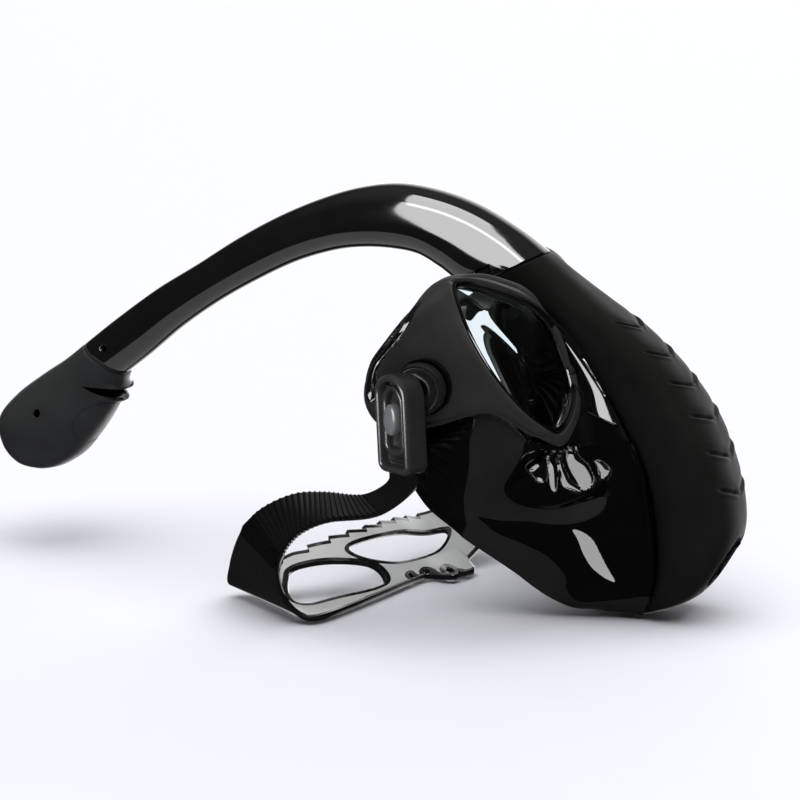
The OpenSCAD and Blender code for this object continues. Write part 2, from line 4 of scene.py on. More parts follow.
import bmesh
import bpy
import numpy as np
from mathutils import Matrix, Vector

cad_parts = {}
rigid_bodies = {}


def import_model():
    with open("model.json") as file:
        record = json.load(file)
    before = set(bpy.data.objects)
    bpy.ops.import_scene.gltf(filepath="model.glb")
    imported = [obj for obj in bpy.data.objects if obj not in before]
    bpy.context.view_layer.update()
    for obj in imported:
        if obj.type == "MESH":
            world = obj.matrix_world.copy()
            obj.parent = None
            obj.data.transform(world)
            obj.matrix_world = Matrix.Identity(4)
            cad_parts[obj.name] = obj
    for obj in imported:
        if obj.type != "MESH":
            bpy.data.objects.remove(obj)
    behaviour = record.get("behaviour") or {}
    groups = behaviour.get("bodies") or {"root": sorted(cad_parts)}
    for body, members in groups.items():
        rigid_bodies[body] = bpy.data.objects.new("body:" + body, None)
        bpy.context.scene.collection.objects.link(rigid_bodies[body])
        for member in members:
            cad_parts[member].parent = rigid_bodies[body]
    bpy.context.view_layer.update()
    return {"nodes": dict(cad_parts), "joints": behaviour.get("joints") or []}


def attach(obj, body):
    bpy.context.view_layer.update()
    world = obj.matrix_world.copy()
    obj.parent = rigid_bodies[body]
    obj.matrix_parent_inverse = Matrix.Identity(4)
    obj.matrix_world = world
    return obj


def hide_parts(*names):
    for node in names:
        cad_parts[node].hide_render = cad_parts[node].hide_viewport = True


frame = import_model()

# Shapes are written in millimetres, either in the ground frame of the record
# or in the mask's own upright frame (X forward, Z to the forehead), and become
# metres in the row's frame in to_row(). Y is negative on the wearer's right,
# which is the side nearest the camera.
MM = 0.001
PITCH = math.radians(27)     # how far the mask leans back as it lies
FLOOR_GAP = 0.2              # points of a sheet are at least this far over the floor
POST = np.array([-77.0, -79.0, 121.0])     # strap pivot, ground frame
JOINTS = {j["name"]: j for j in frame["joints"]}
SWING = np.array(JOINTS["strap_swing"]["pos_m"]) / MM
ORIGIN = np.array([SWING[0] - POST[0], 0.0, SWING[2] - POST[2]])
SIDES = (("right", False), ("left", True))     # the left side mirrors the right

# Walls of the sheets that are given a thickness.
HOUSING_WALL = 1.4
PANEL_WALL = 2.4
TRIM_WALL = 1.6
SKIRT_WALL = 1.8
TUBE_WALL = 1.5
HEAD_WALL = 2.0
STRAP_WALL = 2.8
# Value of a cutting field in places that the cut does not reach.
UNCUT = 9.0


def to_ground(points):
    """Mask frame to ground frame, both in mm."""
    p = np.asarray(points, float)
    x, y, z = p[..., 0], p[..., 1], p[..., 2]
    c, s = math.cos(PITCH), math.sin(PITCH)
    return np.stack([x * c - z * s, y, x * s + z * c], -1)


def to_row(points, upright):
    """Millimetres in either frame to metres in the row's frame."""
    p = to_ground(points) if upright else np.asarray(points, float)
    return (p + ORIGIN) * MM


# ---- curves and grids -------------------------------------------------------

def spline(points, steps, closed=False):
    """Catmull-Rom curve through the points, with that many steps between two."""
    p = np.asarray(points, float)
    k = len(p)
    if closed:
        idx = np.arange(k)
        a, b, c, d = p[idx - 1], p, p[(idx + 1) % k], p[(idx + 2) % k]
    else:
        ext = np.vstack([2 * p[0] - p[1], p, 2 * p[-1] - p[-2]])
        a, b, c, d = ext[:-3], ext[1:-2], ext[2:-1], ext[3:]
    t = (np.arange(steps) / steps)[None, :, None]
    a, b, c, d = (v[:, None, :] for v in (a, b, c, d))
    q = 0.5 * (2 * b + (c - a) * t + (2 * a - 5 * b + 4 * c - d) * t ** 2
               + (3 * b - 3 * c + d - a) * t ** 3)
    q = q.reshape(-1, p.shape[1])
    return q if closed else np.vstack([q, p[-1]])


def power(v, e):
    return np.sign(v) * np.abs(v) ** e


def round_angles(count):
    return np.linspace(0, 2 * math.pi, count, endpoint=False)


def oval(front, rear, half, n, angles):
    """Superellipse ring between a front and a rear point of the mid plane."""
    f, r = np.asarray(front, float), np.asarray(rear, float)
    ring = (f + r) / 2 + power(np.cos(angles), 2 / n)[:, None] * (f - r) / 2
    ring[:, 1] += half * power(np.sin(angles), 2 / n)
    return ring


def stations(rows, n, steps, count):
    """Grid of oval rings along rows of front x z, rear x z, half width."""
    a = round_angles(count)
    return np.array([oval((r[0], 0, r[1]), (r[2], 0, r[3]), r[4], n, a) for r in spline(rows, steps)])


def station_numbers(g, steps):
    """Which station each ring of a grid is at, as a column."""
    return (np.arange(len(g)) / steps)[:, None]


def between(a, b, t):
    """Grid of points on straight lines from one curve to another, at shares t."""
    return a[:, None] * (1 - t)[..., None] + b[:, None] * t[..., None]


def mirrored(points):
    return np.asarray(points, float) * [1, -1, 1]


def both_sides(half):
    half = np.asarray(half, float)
    return np.vstack([half, mirrored(half[1:-1])[::-1]])


def smooth(v, low, high):
    """0 below low, 1 above high and a soft step between."""
    t = np.clip((v - low) / (high - low), 0, 1)
    return t * t * (3 - 2 * t)


def soft_range(v, ends):
    """1 between the second and the third of four values, fading to 0 at the others."""
    return smooth(v, *ends[:2]) * (1 - smooth(v, *ends[2:]))


def hump(v, width):
    return np.exp(-(v / width) ** 2)


def grid_normals(g, wrap):
    u = np.gradient(g, axis=0)
    v = (np.roll(g, -1, 1) - np.roll(g, 1, 1)) if wrap else np.gradient(g, axis=1)
    w = np.cross(u, v)
    return w / np.maximum(np.linalg.norm(w, axis=-1, keepdims=True), 1e-9)


def outer_normals(g):
    """Normals of a grid of rings, pointing away from the rings' middles."""
    n = grid_normals(g, True)
    return -n if (n * (g - g.mean(1, keepdims=True))).sum() < 0 else n


def right_normals(g, wrap=False, cols=slice(None)):
    """Normals of a grid on the right side, pointing out to the right in those columns."""
    n = grid_normals(g, wrap)
    return -n if n[:, cols, 1].sum() > 0 else n


# ---- outlines on a grid -----------------------------------------------------

def polyline_distance(s, t, line, size):
    """Distance in mm from every grid point to a line; size is mm per unit of s and t."""
    p = np.stack([s * size[0], t * size[1]], -1).reshape(-1, 2)
    q = np.asarray(line, float) * size
    best = np.full(len(p), 1e9)
    for a, b in zip(q[:-1], q[1:]):
        d = b - a
        u = np.clip(((p - a) @ d) / (d @ d), 0, 1)
        best = np.minimum(best, np.linalg.norm(p - a - u[:, None] * d, axis=1))
    return best.reshape(s.shape)


def inside_polygon(s, t, line):
    q = np.asarray(line, float)
    inside = np.zeros(s.shape, bool)
    for (x1, y1), (x2, y2) in zip(q, np.roll(q, -1, 0)):
        crosses = (y1 > t) != (y2 > t)
        with np.errstate(divide="ignore", invalid="ignore"):
            at = (x2 - x1) * (t - y1) / (y2 - y1) + x1
        inside ^= crosses & (s < at)
    return inside


def region(s, t, line, size, area=None):
    """Signed distance in mm from a line, positive inside it or inside the area given."""
    d = polyline_distance(s, t, line, size)
    return np.where(inside_polygon(s, t, line if area is None else area), d, -d)


def closed_region(s, t, outline, steps, size):
    """The same for a closed outline, with a curve drawn through its points."""
    loop = spline(outline, steps, True)
    return region(s, t, np.vstack([loop, loop[:1]]), size)


# ---- meshes -----------------------------------------------------------------

def grid_faces(m, n, wrap_u=False, wrap_v=False):
    i = np.arange(m if wrap_u else m - 1)[:, None]
    j = np.arange(n if wrap_v else n - 1)[None, :]
    a, b = i * n + j, ((i + 1) % m) * n + j
    c, d = ((i + 1) % m) * n + (j + 1) % n, i * n + (j + 1) % n
    return np.stack([a, b, c, d], -1).reshape(-1, 4)


def cut_away(verts, quads, field):
    """Keeps the part of a mesh where field is positive, cut along its zero line."""
    inside = field > 0
    whole = inside[quads].all(1)
    out = [tuple(f) for f in quads[whole]]
    part = quads[~whole]
    tris = np.vstack([part[:, [0, 1, 2]], part[:, [0, 2, 3]]])
    points = list(verts)
    made = {}

    def crossing(a, b):
        key = (min(a, b), max(a, b))
        if key not in made:
            t = field[a] / (field[a] - field[b])
            made[key] = len(points)
            points.append(verts[a] * (1 - t) + verts[b] * t)
        return made[key]

    for tri, count in zip(tris, inside[tris].sum(1)):
        if count == 3:
            out.append(tuple(tri))
        elif count:
            ring = []
            for k in range(3):
                a, b = tri[k], tri[(k + 1) % 3]
                if inside[a]:
                    ring.append(a)
                if inside[a] != inside[b]:
                    ring.append(crossing(a, b))
            out.append(tuple(ring))
    return np.array(points), out


def make(name, verts, faces, material, upright=True, mirror=False):
    """A smooth mesh object from points in mm; loose points are dropped."""
    v = np.asarray(verts, float).reshape(-1, 3)
    if mirror:
        v = mirrored(v)
        faces = [tuple(f)[::-1] for f in faces]
    v = to_row(v, upright)
    v[:, 2] = np.maximum(v[:, 2], FLOOR_GAP * MM)
    mesh = bpy.data.meshes.new(name)
    mesh.from_pydata([tuple(p) for p in v], [], [tuple(int(i) for i in f) for f in faces])
    bm = bmesh.new()
    bm.from_mesh(mesh)
    bmesh.ops.remove_doubles(bm, verts=bm.verts, dist=0.02 * MM)
    loose = [p for p in bm.verts if not p.link_faces]
    bmesh.ops.delete(bm, geom=loose, context="VERTS")
    bmesh.ops.recalc_face_normals(bm, faces=bm.faces)
    for f in bm.faces:
        f.smooth = True
    bm.to_mesh(mesh)
    bm.free()
    mesh.materials.append(material)
    obj = bpy.data.objects.new(name, mesh)
    bpy.context.scene.collection.objects.link(obj)
    return obj


def make_cut(name, g, field, material, wrap=True, **kw):
    """The part of a grid where field is positive, as an object."""
    v, f = cut_away(g.reshape(-1, 3), grid_faces(*g.shape[:2], wrap_v=wrap), field.ravel())
    return make(name, v, f, material, **kw)


def make_rings(name, g, material, closed=False, **kw):
    """A grid of rings as an object; a closed one also joins its last ring to its first."""
    return make(name, g, grid_faces(*g.shape[:2], closed, True), material, **kw)


def fill_holes(obj, pick=lambda edge: True):
    """Closes the openings of a mesh that the picked edges go round."""
    bm = bmesh.new()
    bm.from_mesh(obj.data)
    bmesh.ops.holes_fill(bm, edges=[e for e in bm.edges if pick(e)], sides=0)
    bm.to_mesh(obj.data)
    bm.free()


def solidify(obj, thickness, offset=-1.0):
    """Gives a sheet a wall, inwards with offset -1 and half to each side with 0."""
    m = obj.modifiers.new("wall", "SOLIDIFY")
    m.thickness = thickness * MM
    m.offset = offset
    m.use_even_offset = False


def outward(obj, centre, upright=True):
    """Turns an open sheet's faces, as a whole, to look away from centre."""
    c = Vector(to_row(np.asarray(centre, float), upright))
    score = sum((p.center - c).dot(p.normal) * p.area for p in obj.data.polygons)
    if score < 0:
        obj.data.flip_normals()
    return obj


def place(obj, body, slot, *nodes):
    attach(obj, body)
    if nodes:
        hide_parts(*nodes)


# ---- materials --------------------------------------------------------------

def remap(tree, value, a, b, lo, hi, kind="LINEAR"):
    """A node that turns the range a to b of a value into lo to hi."""
    n = tree.nodes.new("ShaderNodeMapRange")
    n.interpolation_type = kind
    for key, v in (("From Min", a), ("From Max", b), ("To Min", lo), ("To Max", hi)):
        n.inputs[key].default_value = v
    tree.links.new(value, n.inputs["Value"])
    return n.outputs["Result"]


def add_values(tree, a, b):
    """A node that adds a value to another value or to a number."""
    n = tree.nodes.new("ShaderNodeMath")
    n.operation = "ADD"
    tree.links.new(a, n.inputs[0])
    if isinstance(b, float):
        n.inputs[1].default_value = b
    else:
        tree.links.new(b, n.inputs[1])
    return n.outputs[0]


def plastic(name, colour, rough, grain=900.0, bump=0.0, vary=0.15, ior=1.5, wear=0.05, shine=0.5):
    """Moulded plastic or rubber: mottled colour, uneven gloss, faint scuffs and a fine grain."""
    m = bpy.data.materials.new(name)
    m.use_nodes = True
    nt = m.node_tree
    out = nt.nodes["Principled BSDF"]
    where = nt.nodes.new("ShaderNodeTexCoord")

    def noise(scale, detail, stretch=(1, 1, 1)):
        mapping = nt.nodes.new("ShaderNodeMapping")
        mapping.inputs["Scale"].default_value = stretch
        n = nt.nodes.new("ShaderNodeTexNoise")
        n.inputs["Scale"].default_value = scale
        n.inputs["Detail"].default_value = detail
        nt.links.new(where.outputs["Object"], mapping.inputs["Vector"])
        nt.links.new(mapping.outputs["Vector"], n.inputs["Vector"])
        return n.outputs["Fac"]

    mottle = noise(45, 3)
    scuff = noise(160, 6, (1, 1, 5))
    fine = noise(grain, 2)
    ramp = nt.nodes.new("ShaderNodeMix")
    ramp.data_type = "RGBA"
    ramp.inputs["A"].default_value = [c * (1 - vary) for c in colour] + [1]
    ramp.inputs["B"].default_value = [c * (1 + vary) for c in colour] + [1]
    nt.links.new(remap(nt, mottle, 0.3, 0.7, 0, 1), ramp.inputs["Factor"])
    nt.links.new(ramp.outputs["Result"], out.inputs["Base Color"])
    uneven = remap(nt, mottle, 0.3, 0.7, rough * 0.88, rough * 1.1)
    gloss = add_values(nt, uneven, remap(nt, scuff, 0.58, 0.8, 0, wear))
    nt.links.new(gloss, out.inputs["Roughness"])
    out.inputs["IOR"].default_value = ior
    out.inputs["Specular IOR Level"].default_value = shine
    b = nt.nodes.new("ShaderNodeBump")
    b.inputs["Strength"].default_value = 0.5
    b.inputs["Distance"].default_value = bump * MM
    nt.links.new(fine, b.inputs["Height"])
    nt.links.new(b.outputs["Normal"], out.inputs["Normal"])
    return m


def clear(name, colour, rough, ior=1.45, through=1.0, bump=0.0):
    """A see-through plastic, glass or silicone."""
    m = plastic(name, colour, rough, bump=bump, vary=0.02, ior=ior, wear=0.01)
    m.node_tree.nodes["Principled BSDF"].inputs["Transmission Weight"].default_value = through
    return m


def metal(name, colour, rough):
    m = plastic(name, colour, rough, bump=0.02, vary=0.06)
    m.node_tree.nodes["Principled BSDF"].inputs["Metallic"].default_value = 1.0
    return m


MATTE = plastic("matte_shell", (0.0112, 0.0112, 0.0103), 0.55, grain=1500, bump=0.12, shine=0.09)
FRAME_MATTE = plastic("matte_frame", (0.032, 0.032, 0.031), 0.42, grain=1700, bump=0.05, shine=0.25)
CHEEK_MATTE = plastic("matte_cheek", (0.0185, 0.0187, 0.018), 0.5, grain=1700, bump=0.05, shine=0.2)
GLOSS = plastic("gloss_shell", (0.0018, 0.0017, 0.0015), 0.06, grain=300, bump=0.01, wear=0.02)
TUBE_GLOSS = plastic("gloss_tube", (0.0014, 0.0014, 0.0015), 0.08, grain=240, bump=0.01, wear=0.03)
RUBBER = plastic("soft_black", (0.0025, 0.0025, 0.0025), 0.2, grain=500, bump=0.02, wear=0.05, ior=1.45)
FACE_RUBBER = plastic("soft_face", (0.004, 0.004, 0.004), 0.42, grain=500, bump=0.03, shine=0.2)
# Partly own dark colour, partly painted shade: the parts inside the purge opening and the cover screws are
# made near black with almost no shine, so that the opening reads as shade.
PAINTED_OPENING_SHADE = plastic("dark_opening", (0.003, 0.003, 0.003), 0.9, bump=0.05, shine=0.02)
BAND = plastic("soft_strap", (0.004, 0.004, 0.0042), 0.12, grain=500, bump=0.015, ior=2.1, wear=0.04)
# Painted reflection: a light grey sheet laid over the inner face of the black strap pad, standing in for
# the bright backdrop that the glossy pad mirrors.
PAINTED_PAD_REFLECTION = plastic("strap_lining", (0.60, 0.605, 0.60), 0.3, grain=500, bump=0.02, vary=0.06)
GREY = plastic("soft_grey", (0.05, 0.052, 0.055), 0.45, bump=0.03)
BUCKLE = plastic("buckle_plastic", (0.012, 0.012, 0.0125), 0.25, bump=0.02)
BUTTON = plastic("button_plastic", (0.06, 0.062, 0.065), 0.25, bump=0.02)
INNER = plastic("inner_plastic", (0.012, 0.012, 0.013), 0.4, bump=0.03)
FOAM = plastic("float_foam", (0.55, 0.2, 0.05), 0.8, grain=700, bump=0.25)
DRY_TOP = plastic("dry_top_shell", (0.03, 0.031, 0.031), 0.36, grain=1200, bump=0.04, shine=0.35)
MILKY = clear("soft_clear", (0.85, 0.87, 0.88), 0.3, through=0.5, bump=0.02)
GLASS = clear("lens_clear", (0.86, 0.95, 0.95), 0.015, ior=1.3)
STEEL = metal("screw_steel", (0.5, 0.5, 0.52), 0.3)

# ---- front housing ----------------------------------------------------------

# Stations from the duct's mouth down to the chin: front x z, rear x z, half width.
HOUSING = [
    [39, 177, 4, 177, 15.5], [47, 161, 14, 165, 16.5], [56, 144, 27, 149, 18.5],
    [66, 126, 34.5, 130, 21], [74, 107, 38, 106, 23.5], [79, 89, 40, 84, 26],
    [81.5, 70, 40, 62, 28], [80.5, 50, 37, 44, 29], [77, 31, 31, 28, 28.5],
    [70, 14, 24, 14, 27], [58, 2, 15, 3, 24.5], [42, -6, 8, -3, 20], [26, -8, 4, -4, 12]
]
STATION_MM = 17.0                       # about the way from one station to the next
CAP_RINGS = (0.97, 0.9, 0.75, 0.5, 0.25, 0.02)      # close the chin end
GILLS = 6
FIRST_GILL, GILL_PITCH, GILL_SLANT = 2.6, 0.98, 0.42          # in stations
GILL_EDGE, GILL_SPAN = 44, 40                       # degrees from the middle line
GILL_FADE = (0.0, 0.45, 0.92, 1.12)                 # shares of that span
PURGE = np.array([55.0, 0.0, 2.0])
PURGE_TILT = math.radians(148)
PURGE_AXIS = np.array([math.sin(PURGE_TILT), 0, math.cos(PURGE_TILT)])
PURGE_R = 15.0
PURGE_REACH = 12.0
NO_HOLE = 40.0


def gill_relief(s, angle):
    """Groove, lip under it and shallow run-in above it, for all gill slots."""
    a = np.abs((angle + math.pi) % (2 * math.pi) - math.pi)
    t = (GILL_EDGE - np.degrees(a)) / GILL_SPAN
    reach = soft_range(t, GILL_FADE)
    total = 0
    for i in range(GILLS):
        d = (s - (FIRST_GILL + GILL_PITCH * i + GILL_SLANT * t)) * STATION_MM
        total = total - 1.7 * hump(d, 0.75) + 0.5 * hump(d - 1.8, 1.0) - 0.35 * hump(d + 1.8, 1.8)
    return total * reach


def build_housing():
    steps, count = 32, 320
    g = stations(HOUSING, 2.6, steps, count)
    s = station_numbers(g, steps)
    rel = g - PURGE
    along = rel @ PURGE_AXIS
    radial = np.linalg.norm(rel - along[..., None] * PURGE_AXIS, axis=-1)
    hole = np.where(along > -PURGE_REACH, radial - PURGE_R, NO_HOLE)
    hole_edge = 1.4 * (1 - smooth(hole, 0, 2.5))
    mouth_edge = 0.8 * (1 - smooth(s * STATION_MM, 0, 1.2))
    relief = gill_relief(s, round_angles(count)[None, :]) - hole_edge - mouth_edge
    g = g + outer_normals(g) * relief[..., None]
    end = g[-1]
    centre = end.mean(0)
    g = np.vstack([g, [centre + (end - centre) * k for k in CAP_RINGS]])
    hole = np.vstack([hole, np.full((len(CAP_RINGS), count), NO_HOLE)])
    shell = outward(make_cut("housing_shell", g, hole, MATTE), (45, 0, 80))
    solidify(shell, HOUSING_WALL)
    place(shell, "mask", "matte_shell", "front_housing", "gill_lips")


build_housing()

# ---- lenses, rims and frames ------------------------------------------------

# Outlines on the right side, mask frame: the lens, and the frame round it.
LENS = [
    [9.5, -59.5, 179.5], [22, -45, 168], [29, -26, 150], [29, -23, 130], [26, -27, 109],
    [20, -45, 98], [17, -61, 107], [14, -70.5, 125], [11.5, -73.5, 146], [9, -68, 167]
]
FRAME = [
    [6, -57.5, 185], [18, -43, 179], [24.5, -34, 172], [27.5, -24.5, 165.5], [29.5, -20.2, 157],
    [31, -19.5, 145], [31, -19.5, 132], [31, -20, 116], [29, -22.3, 102.5], [25, -35, 93],
    [20, -46, 90], [15, -60, 103], [11, -67, 115], [5, -72, 123], [-8, -76, 125],
    [-26, -79, 126], [-43, -80, 133], [-46.5, -80, 148], [-36, -80, 162], [-12, -78, 174]
]
LENS_STEPS = 24
FRAME_STEPS = LENS_STEPS * len(LENS) // len(FRAME)      # both loops have as many points
LENS_LOOP = spline(LENS, LENS_STEPS, True)
LENS_C = spline(LENS, 6, True).mean(0)
FRAME_LOOP = spline(FRAME, FRAME_STEPS, True)
LENS_CROWN = 3.0
LENS_THICK = 2.4
# Sections round the lens: share of the way out from its middle, and x.
RIM = [
    (0.985, -0.8), (0.984, 2.6), (0.988, 4.0), (0.998, 4.5), (1.006, 4.0), (1.012, 3.6), (1.02, 4.4),
    (1.034, 5.1), (1.046, 4.5), (1.05, 3.2), (1.05, -0.8), (1.02, -0.8)
]
GASKET = [(1.0, -0.9), (1.028, -0.9), (1.03, -1.5), (1.028, -2.1), (1.0, -2.1), (0.998, -1.5)]
FRAME_START = (1.055, 3.4)
# The glossy bay between lens and buckle, as numbers of the frame's corners.
BAY = (16.6, 17.1, 19.0, 19.5)
BAY_DEPTH = 7.6


def lens_ring(k, x):
    return LENS_C + (LENS_LOOP - LENS_C) * k + [x, 0, 0]


def lens_sheet(lift):
    shares = np.concatenate([np.linspace(0.02, 0.9, 12), [0.94, 0.97, 0.984]])
    return np.array([lens_ring(k, LENS_CROWN * (1 - k * k) + lift) for k in shares])


def build_lens(side, mirror):
    g = np.vstack([lens_sheet(LENS_THICK), lens_sheet(0)[::-1]])
    lens = make_rings("lens_" + side + "_glass", g, GLASS, mirror=mirror)
    fill_holes(lens)
    place(lens, "mask", "lens_clear", "lens_" + side)


def build_section(name, profile, steps, material, slot, node, mirror):
    """A closed section carried round the lens."""
    g = np.array([lens_ring(k, x) for k, x in spline(profile, steps, True)])
    place(make_rings(name, g, material, closed=True, mirror=mirror), "mask", slot, node)


def frame_grid():
    """Frame surface from the lens rim out, with normals and the shares across."""
    inner = lens_ring(*FRAME_START)
    ts = np.linspace(0, 1, 41)
    width = np.linalg.norm(FRAME_LOOP - inner, axis=1)
    bow = np.minimum(3.2, width / 8)
    rows = []
    for t in ts:
        b = bow * math.sin(math.pi * t ** 0.7)
        rows.append(inner * (1 - t) + FRAME_LOOP * t + np.stack([0.3 * b, -b, 0 * b], -1))
    g = np.array(rows)
    n = right_normals(g, True, slice(150, 200))
    proud = 2.4 * np.clip(width / 12, 0.35, 1)
    return g + n * proud[None, :, None], n, ts[:, None]


def build_frame(side, mirror):
    g, n, t = frame_grid()
    span = np.linalg.norm(g[-1] - g[0], axis=1)[None, :]
    inward = (1 - t) * span
    corner = (np.arange(g.shape[1]) / FRAME_STEPS)[None, :]
    rounded = -1.0 * (1 - smooth(np.minimum(inward, t * span), 0, 1.6))
    bays = soft_range(corner, BAY)
    wave = BAY_DEPTH + 1.3 * np.sin((corner - BAY[0]) * 4.2)
    pocket = bays * smooth(inward, 1.2, 2.0) * (1 - smooth(inward, wave, wave + 1.2))
    band = 0.9 * hump(inward - 3.4, 1.8) - 0.7 * hump(inward - 6.9, 0.9)
    lift = rounded - 1.3 * pocket + band * smooth(span, 8, 12) * (1 - bays)
    g = g + n * lift[..., None]
    for part, field, material, slot, nodes in (
        ("plate", 0.5 - pocket, FRAME_MATTE, "matte_frame", ["frame_" + side]),
        ("bay", pocket - 0.5, GLOSS, "gloss_shell", []),
    ):
        name = "frame_" + part + "_" + side
        obj = outward(make_cut(name, g, field, material, mirror=mirror), (-20, 0, 140))
        solidify(obj, PANEL_WALL)
        place(obj, "mask", slot, *nodes)


for side, mirror in SIDES:
    build_lens(side, mirror)
    build_section("rim_" + side, RIM, 4, GLOSS, "gloss_shell", "lens_rim_" + side, mirror)
    build_section("gasket_" + side, GASKET, 3, RUBBER, "soft_black", "lens_gasket_" + side, mirror)
    build_frame(side, mirror)

# ---- cheek and nose ---------------------------------------------------------

# From the temple down to the chin, right side, mask frame: the rear edge, the
# front edge, and where the panel ends out of sight behind frame and housing.
CHEEK_REAR = [
    [-45, -80, 127], [-45, -79, 118], [-45, -77, 108], [-46, -72, 96], [-46, -65, 84],
    [-41, -56, 67], [-35, -49, 53], [-30, -43, 41], [-26, -38, 30], [-22, -33, 21],
    [-17, -27, 13], [-11, -19, 7]
]
CHEEK_FRONT = [
    [-36, -79.5, 125.5], [-20, -78, 121.5], [-4, -75, 120], [7, -69, 113], [14.5, -57, 94.5],
    [27, -36, 84], [45, -26, 78.5], [46, -26, 62], [40, -26.6, 42], [33, -26, 24],
    [24, -22.5, 8], [12, -18, -4]
]
CHEEK_TOP = [
    [-36, -76, 136], [-20, -74.5, 133], [-4, -72, 131], [5, -66.5, 123], [13, -54, 104],
    [28, -27, 97], [43, -20, 101], [47, -23, 64], [41, -24, 44], [34, -24, 26],
    [25, -20.5, 10], [13, -16, -2]
]
CHEEK_STEPS = 26
CHEEK_COLS = 170
TOP_COLS = 40
TOP_SHARE = 0.25
CHEEK_MM = (13.0, 55.0)       # about, per station and across
# Outlines on the cheek, as station from the temple down and share of the way
# from the face seal to the housing.
NOSE_LINE = [
    (3.4, 1.4), (3.6, 1.08), (3.75, 0.98), (3.95, 0.87), (4.2, 0.68), (4.4, 0.53), (4.65, 0.44),
    (4.95, 0.40), (5.4, 0.375), (5.9, 0.385), (6.3, 0.46), (6.65, 0.6), (6.85, 0.70), (7.0, 0.72),
    (7.18, 0.66), (7.05, 0.53), (6.65, 0.40), (6.2, 0.325), (5.5, 0.265), (4.95, 0.225),
    (4.72, 0.2), (4.95, 0.18), (5.6, 0.15), (6.5, 0.18), (7.15, 0.22), (7.8, 0.24), (8.3, 0.235),
    (8.8, 0.17), (9.5, 0.14), (9.9, 0.2), (10.15, 0.45), (10.3, 0.8), (10.4, 1.4)
]
SKIRT_LINE = [
    (1.4, 1.4), (1.8, 1.15), (2.25, 1.0), (2.55, 0.86), (2.8, 0.72), (3.45, 0.5), (4.0, 0.3),
    (4.5, 0.15), (4.75, 0.08), (5.0, -0.1)
]
BEHIND_SKIRT_LINE = [(5.0, -0.2), (-1, -0.2), (-1, 1.5)]
PETALS = [
    [(4.40, 0.74), (4.45, 0.82), (4.80, 0.71), (5.05, 0.61), (4.85, 0.62), (4.50, 0.70)],
    [(4.55, 0.83), (4.55, 0.88), (5.05, 0.73), (5.40, 0.61), (5.70, 0.51), (5.45, 0.54), (5.00, 0.67)],
    [(4.65, 0.88), (4.90, 0.82), (5.30, 0.71), (5.75, 0.61), (6.10, 0.59), (6.25, 0.58), (6.00, 0.55),
     (5.65, 0.57), (5.05, 0.73)],
    [(4.50, 1.05), (4.70, 1.03), (5.20, 0.86), (5.85, 0.73), (6.25, 0.68), (6.35, 0.63), (6.20, 0.59),
     (5.80, 0.63), (5.40, 0.71), (4.90, 0.86)],
    [(5.75, 0.79), (6.10, 0.79), (6.35, 0.79), (6.40, 0.73), (6.20, 0.72)]
]
JAW_OVAL = [
    (7.05, 0.45), (7.40, 0.45), (7.95, 0.445), (8.5, 0.46), (9.05, 0.515), (9.4, 0.585), (9.3, 0.60),
    (8.8, 0.58), (8.3, 0.565), (7.75, 0.55), (7.3, 0.50)
]
JAW_BULGE = (8.4, 0.55)


def cheek_grid():
    """Cheek surface with its station and share numbers; shares go on past 1 under the edges."""
    a, b = spline(CHEEK_REAR, CHEEK_STEPS), spline(CHEEK_FRONT, CHEEK_STEPS)
    s = station_numbers(a, CHEEK_STEPS)
    t = np.linspace(0, 1, CHEEK_COLS)[None, :]
    bow = 9 * np.sin(math.pi * (s / (len(CHEEK_REAR) - 1)) ** 0.8) * np.sin(math.pi * t)
    q = between(a, b, t) + np.stack([0.2 * bow, -0.6 * bow, 0 * bow], -1)
    pinch = np.hypot((q[..., 0] - 10) / 26, (q[..., 2] - 74) / 17)
    q[..., 1] += 9 * np.exp(-pinch ** 4)
    more = np.linspace(0, 1, TOP_COLS + 1)[None, 1:]
    top = spline(CHEEK_TOP, CHEEK_STEPS)
    past = q[:, -1:] * (1 - more)[..., None] + top[:, None] * more[..., None]
    t = np.hstack([t, 1 + TOP_SHARE * more])
    return np.hstack([q, past]), s + 0 * t, t + 0 * s


def build_cheek(side, mirror):
    g, s, t = cheek_grid()
    skirt_line = spline(SKIRT_LINE, 6)
    nose = region(s, t, spline(NOSE_LINE, 6), CHEEK_MM)
    rear = region(s, t, skirt_line, CHEEK_MM, np.vstack([skirt_line, BEHIND_SKIRT_LINE]))
    petal = np.max([closed_region(s, t, line, 4, CHEEK_MM) for line in PETALS], axis=0)
    patch = closed_region(s, t, JAW_OVAL, 4, CHEEK_MM)
    lift = -0.5 * smooth(nose, -0.3, 2.2) - 0.8 * smooth(rear, -0.3, 1.2)
    lift = lift + 0.35 * smooth(petal, 0, 2.0) - 0.7 * hump(petal, 0.45)
    folds = smooth(rear, 1, 6) * np.sin(t * 55 - s * 1.5) * 0.7
    from_bulge = np.hypot((s - JAW_BULGE[0]) * 13, (t - JAW_BULGE[1]) * 50)
    lift = lift + folds + 1.6 * hump(from_bulge, 14)
    g = g + right_normals(g) * lift[..., None]
    for name, field, material, slot, nodes in (
        ("nose_gloss_", np.minimum(nose, -np.maximum(petal, patch)), GLOSS, "gloss_shell", ["nose_panel_"]),
        ("nose_fold_", np.minimum(nose, petal), GLOSS, "gloss_shell", []),
        ("nose_oval_", patch, GLOSS, "gloss_shell", []),
        ("cheek_matte_", np.minimum(-nose, -rear), CHEEK_MATTE, "matte_shell", ["cheek_panel_"]),
        ("side_skirt_", rear, RUBBER, "soft_black", []),
    ):
        obj = outward(make_cut(name + side, g, field, material, wrap=False, mirror=mirror), (-10, 0, 60))
        solidify(obj, PANEL_WALL)
        place(obj, "mask", slot, *[x + side for x in nodes])


